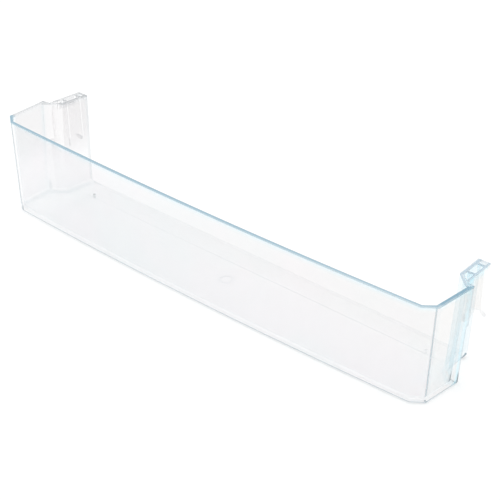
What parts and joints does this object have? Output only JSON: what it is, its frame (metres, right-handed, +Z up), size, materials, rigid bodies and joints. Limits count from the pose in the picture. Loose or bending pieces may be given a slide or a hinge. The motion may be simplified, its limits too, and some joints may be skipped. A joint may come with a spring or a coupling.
{
  "type": "refrigerator door shelf",
  "caption": "Clear plastic refrigerator door shelf: open-backed tray with a bowed front, cut corners and ribbed hanging brackets outside stepped-in ends.",
  "frame": {"origin": "middle of the overall box, on the underside of the floor", "axes": "+X along the shelf to the right as seen from the front, +Y from the bowed front to the open back against the door, +Z up"},
  "size_m": [0.4586, 0.0856, 0.084],
  "materials": {
    "clear_plastic": "clear, polished, with a faint blue tint at the edges"
  },
  "bodies": {
    "root": {"door_shelf": "clear_plastic"}
  },
  "joints": []
}
